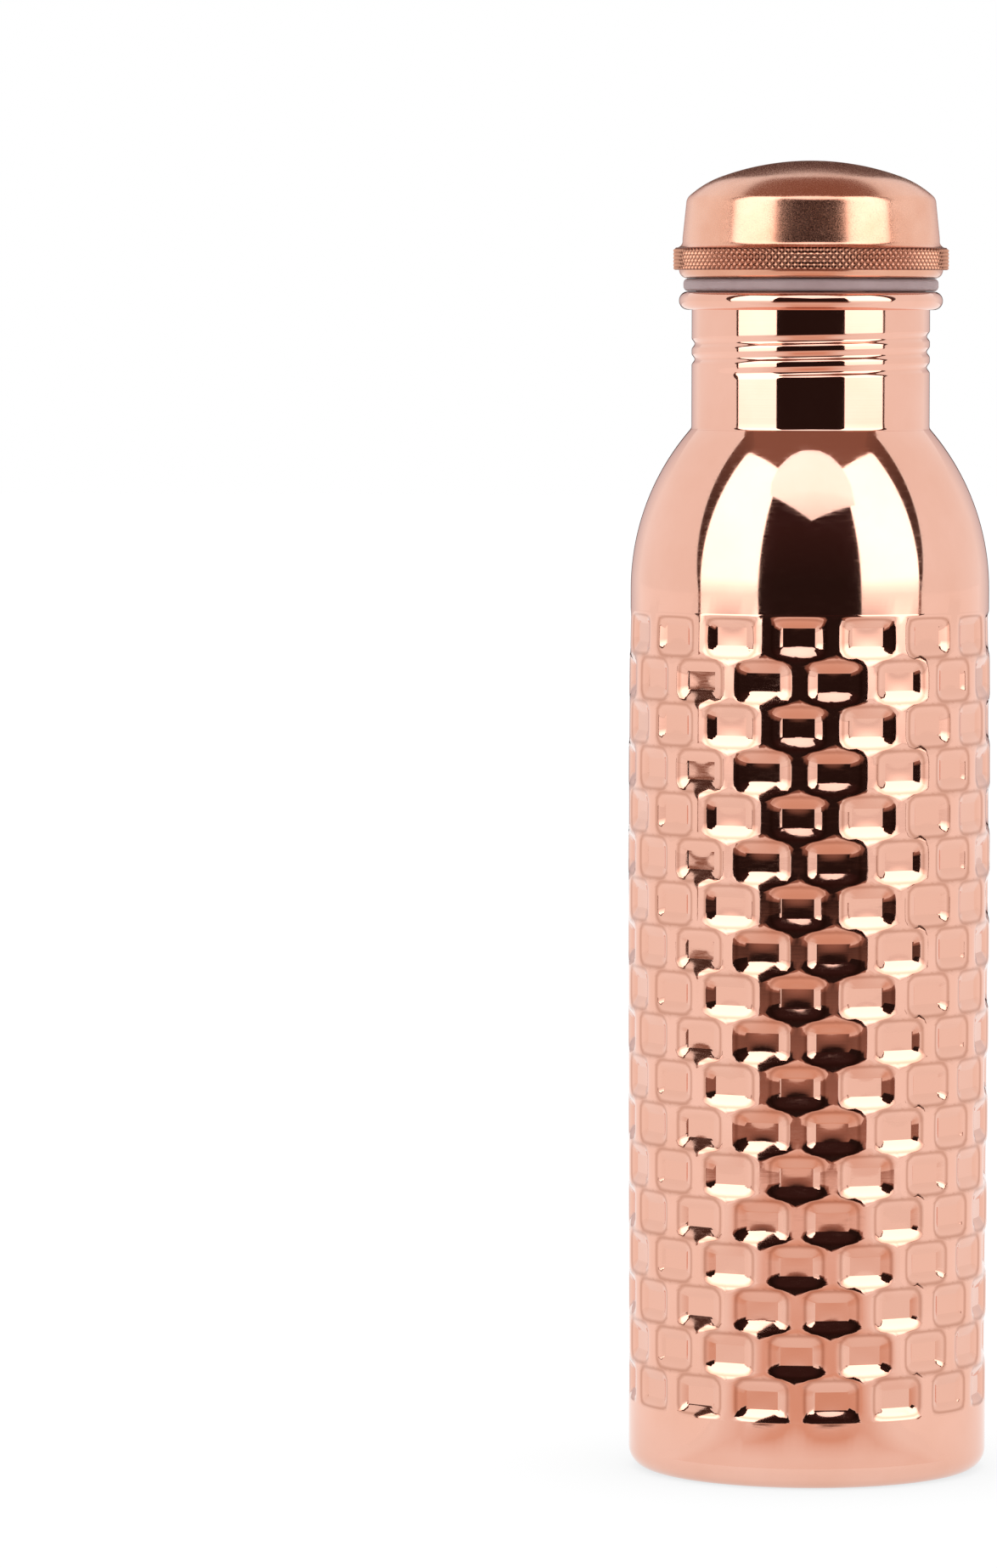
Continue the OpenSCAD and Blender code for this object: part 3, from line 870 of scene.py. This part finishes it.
def warm_glow():
    """The coppery light that the bottle throws on the table in front of it, fading out to the sides."""
    look = Look("warm_glow")
    radius = look.radius()
    outwards = look.ramp(radius, 0, 1, start=0.10, end=0.40)
    warm = look.blend(outwards, (0.78, 0.52, 0.41, 1), (0.88, 0.72, 0.66, 1))
    beside = look.ramp(look.sideways(), 0, 1, start=0.36, end=0.80)
    faded = look.math("MAXIMUM", beside, look.ramp(radius, 0.8, 0, start=0.050, end=0.110))
    return look.glow(look.blend(faded, warm, WHITE))


def mauve_cloth():
    """A dusky cloth behind the bottle, fading to white at its sides: it gives the edges their outline."""
    look = Look("mauve_cloth")
    faded = look.ramp(look.sideways(), 0, 1, start=0.10, end=0.62)
    return look.glow(look.blend(faded, (0.50, 0.33, 0.31, 1), WHITE))


def at(azimuth, distance, height):
    """A place in the studio: azimuth 0 is in front of the bottle, positive to the right."""
    a = math.radians(azimuth)
    return (distance * math.sin(a), -distance * math.cos(a), height)


def aloft(azimuth, elevation, distance):
    """A place seen from the bottle's shoulder at an azimuth and an elevation."""
    return at(azimuth, distance, SHOULDER_Z * MM + distance * math.tan(math.radians(elevation)))


def upright(name, foot_span, head_span, distance, low, high, material):
    """A standing panel between two azimuths, which may change from its foot to its head."""
    corners = [at(foot_span[0], distance, low), at(foot_span[1], distance, low)]
    corners += [at(head_span[1], distance, high), at(head_span[0], distance, high)]
    return card(name, corners, material)


def softbox(name, side, material):
    """A tall leaning softbox, wider at its head than at its foot, with rounded upper corners."""
    distance = 1.4
    low = 0.03
    high = 2.34
    inner = 31
    outer = 79
    turn = 8
    drop = 0.20
    rise = [math.radians(t) for t in (0, 30, 60, 90)]
    corners = [(33, low), (73, low)]
    corners += [(outer - turn + turn * math.cos(a), high - drop + drop * math.sin(a)) for a in rise]
    corners += [(inner + turn - turn * math.cos(a), high - drop + drop * math.sin(a)) for a in reversed(rise)]
    card(name, [at(side * azimuth, distance, z) for azimuth, z in corners], material)


def studio():
    """Two softboxes with dark edges, a pale light overhead, and dark cards in front, behind and above."""
    flag_at = 1.41
    flag_foot = 0.17
    black = cloth("black_felt", (0.020, 0.011, 0.010, 1), (0.036, 0.016, 0.015, 1), low=0.3, high=1.2)
    brown = cloth("brown_felt", (0.08, 0.045, 0.037, 1), (0.27, 0.14, 0.105, 1), low=1.0, high=3.0)
    bronze = cloth("bronze_felt", (0.34, 0.20, 0.155, 1), (0.26, 0.15, 0.115, 1), low=0.0, high=flag_foot)
    white = cloth("softbox_cloth", (0.95, 0.92, 0.92, 1), (2.6, 2.5, 2.45, 1), low=0.06, high=0.30)
    pale = cloth("overhead_cloth", (1.2, 1.17, 1.17, 1), (1.9, 1.85, 1.9, 1), low=0.475, high=0.63)
    # painted shade: a sheet for the shaded table in front of the bottle, brownish near it and black further
    # off
    table_shade = cloth("painted_table_shade", (0.42, 0.23, 0.18, 1), (0.020, 0.011, 0.010, 1), low=0.5, high=1.6, flat=True)
    table()
    for side, name in ((-1, "_left"), (1, "_right")):
        span = (side * 72.5, side * 75.3)
        softbox("softbox" + name, side, white)
        upright("flag" + name, span, (side * 79, side * 104), flag_at, flag_foot, 2.6, brown)
        upright("flag_foot" + name, span, span, flag_at, 0.0, flag_foot, bronze)
    behind = (140, 220)
    behind_middle = (169, 191)
    ahead = (-36, 36)
    upright("back_mauve", behind, behind, distance=2.3, low=0.0, high=0.9, material=mauve_cloth())
    upright("back_dark", behind_middle, behind_middle, distance=1.6, low=0.0, high=1.4, material=brown)
    upright("front_dark", ahead, ahead, distance=2.3, low=-0.01, high=4.4, material=black)
    overhead = [(1, 32.4), (35, 38), (37, 48), (35, 57), (27, 64), (14, 68)]
    overhead += [(-14, 68), (-27, 64), (-35, 57), (-36, 49), (-33, 43)]
    card("overhead", [aloft(azimuth, elevation, distance=0.5) for azimuth, elevation in overhead], pale)
    ceiling_z = 3.2
    ceiling = [(-2, -1.7), (2, -1.7), (2, 0.5), (0.6, 2.9), (-0.6, 2.9), (-2, 0.5)]
    card("ceiling", [(x, y, ceiling_z) for x, y in ceiling], brown)
    warm_near = 0.039
    warm_far = 0.55
    dark_table = ((-33, warm_far), (33, warm_far), (36, 2.3), (-36, 2.3))
    # painted shade on the table in front, from 0.55 m out: the sheet lies just over the table and shows only
    # in the bottle's reflections
    card("dark_table", [at(azimuth, distance, height=0.001) for azimuth, distance in dark_table], table_shade)
    turns = range(-60, 61, 10)
    near = [at(azimuth, warm_near, height=0.004) for azimuth in turns]
    far = [at(-azimuth, warm_far, height=0.004) for azimuth in turns]
    card("warm_card", near + far, warm_glow())


def white_room():
    """Even white light from all round, and colours shown as they are."""
    world = bpy.data.worlds.new("studio")
    world.use_nodes = True
    world.node_tree.nodes["Background"].inputs["Color"].default_value = WHITE
    world.node_tree.nodes["Background"].inputs["Strength"].default_value = 1.0
    bpy.context.scene.world = world
    bpy.context.scene.view_settings.view_transform = "Standard"
    bpy.context.scene.cycles.caustics_reflective = False


def camera():
    """A long lens at the height of the cap, turned a little left and down."""
    distance = 1.655
    height = 0.243
    turn_left = math.radians(2.226)
    look_down = math.radians(3.503)
    roll = math.radians(0.08)
    data = bpy.data.cameras.new("camera")
    data.lens = 183.8
    data.sensor_width = 36
    data.clip_end = 50
    obj = bpy.data.objects.new("camera", data)
    bpy.context.scene.collection.objects.link(obj)
    aim = Matrix.Rotation(turn_left, 4, "Z") @ Matrix.Rotation(math.pi / 2 - look_down, 4, "X")
    obj.matrix_world = Matrix.Translation((0, -distance, height)) @ aim @ Matrix.Rotation(roll, 4, "Z")
    bpy.context.scene.camera = obj


def build():
    """Makes every piece with its own material."""
    body_shell(polished_copper())
    neck_collar(neck_copper())
    base_plate(base_copper())
    gasket(silicone())
    cap_dome(cap_copper())
    cap_band(knurled_copper())
    cap_plug(plug_copper())


camera()
build()
studio()
white_room()
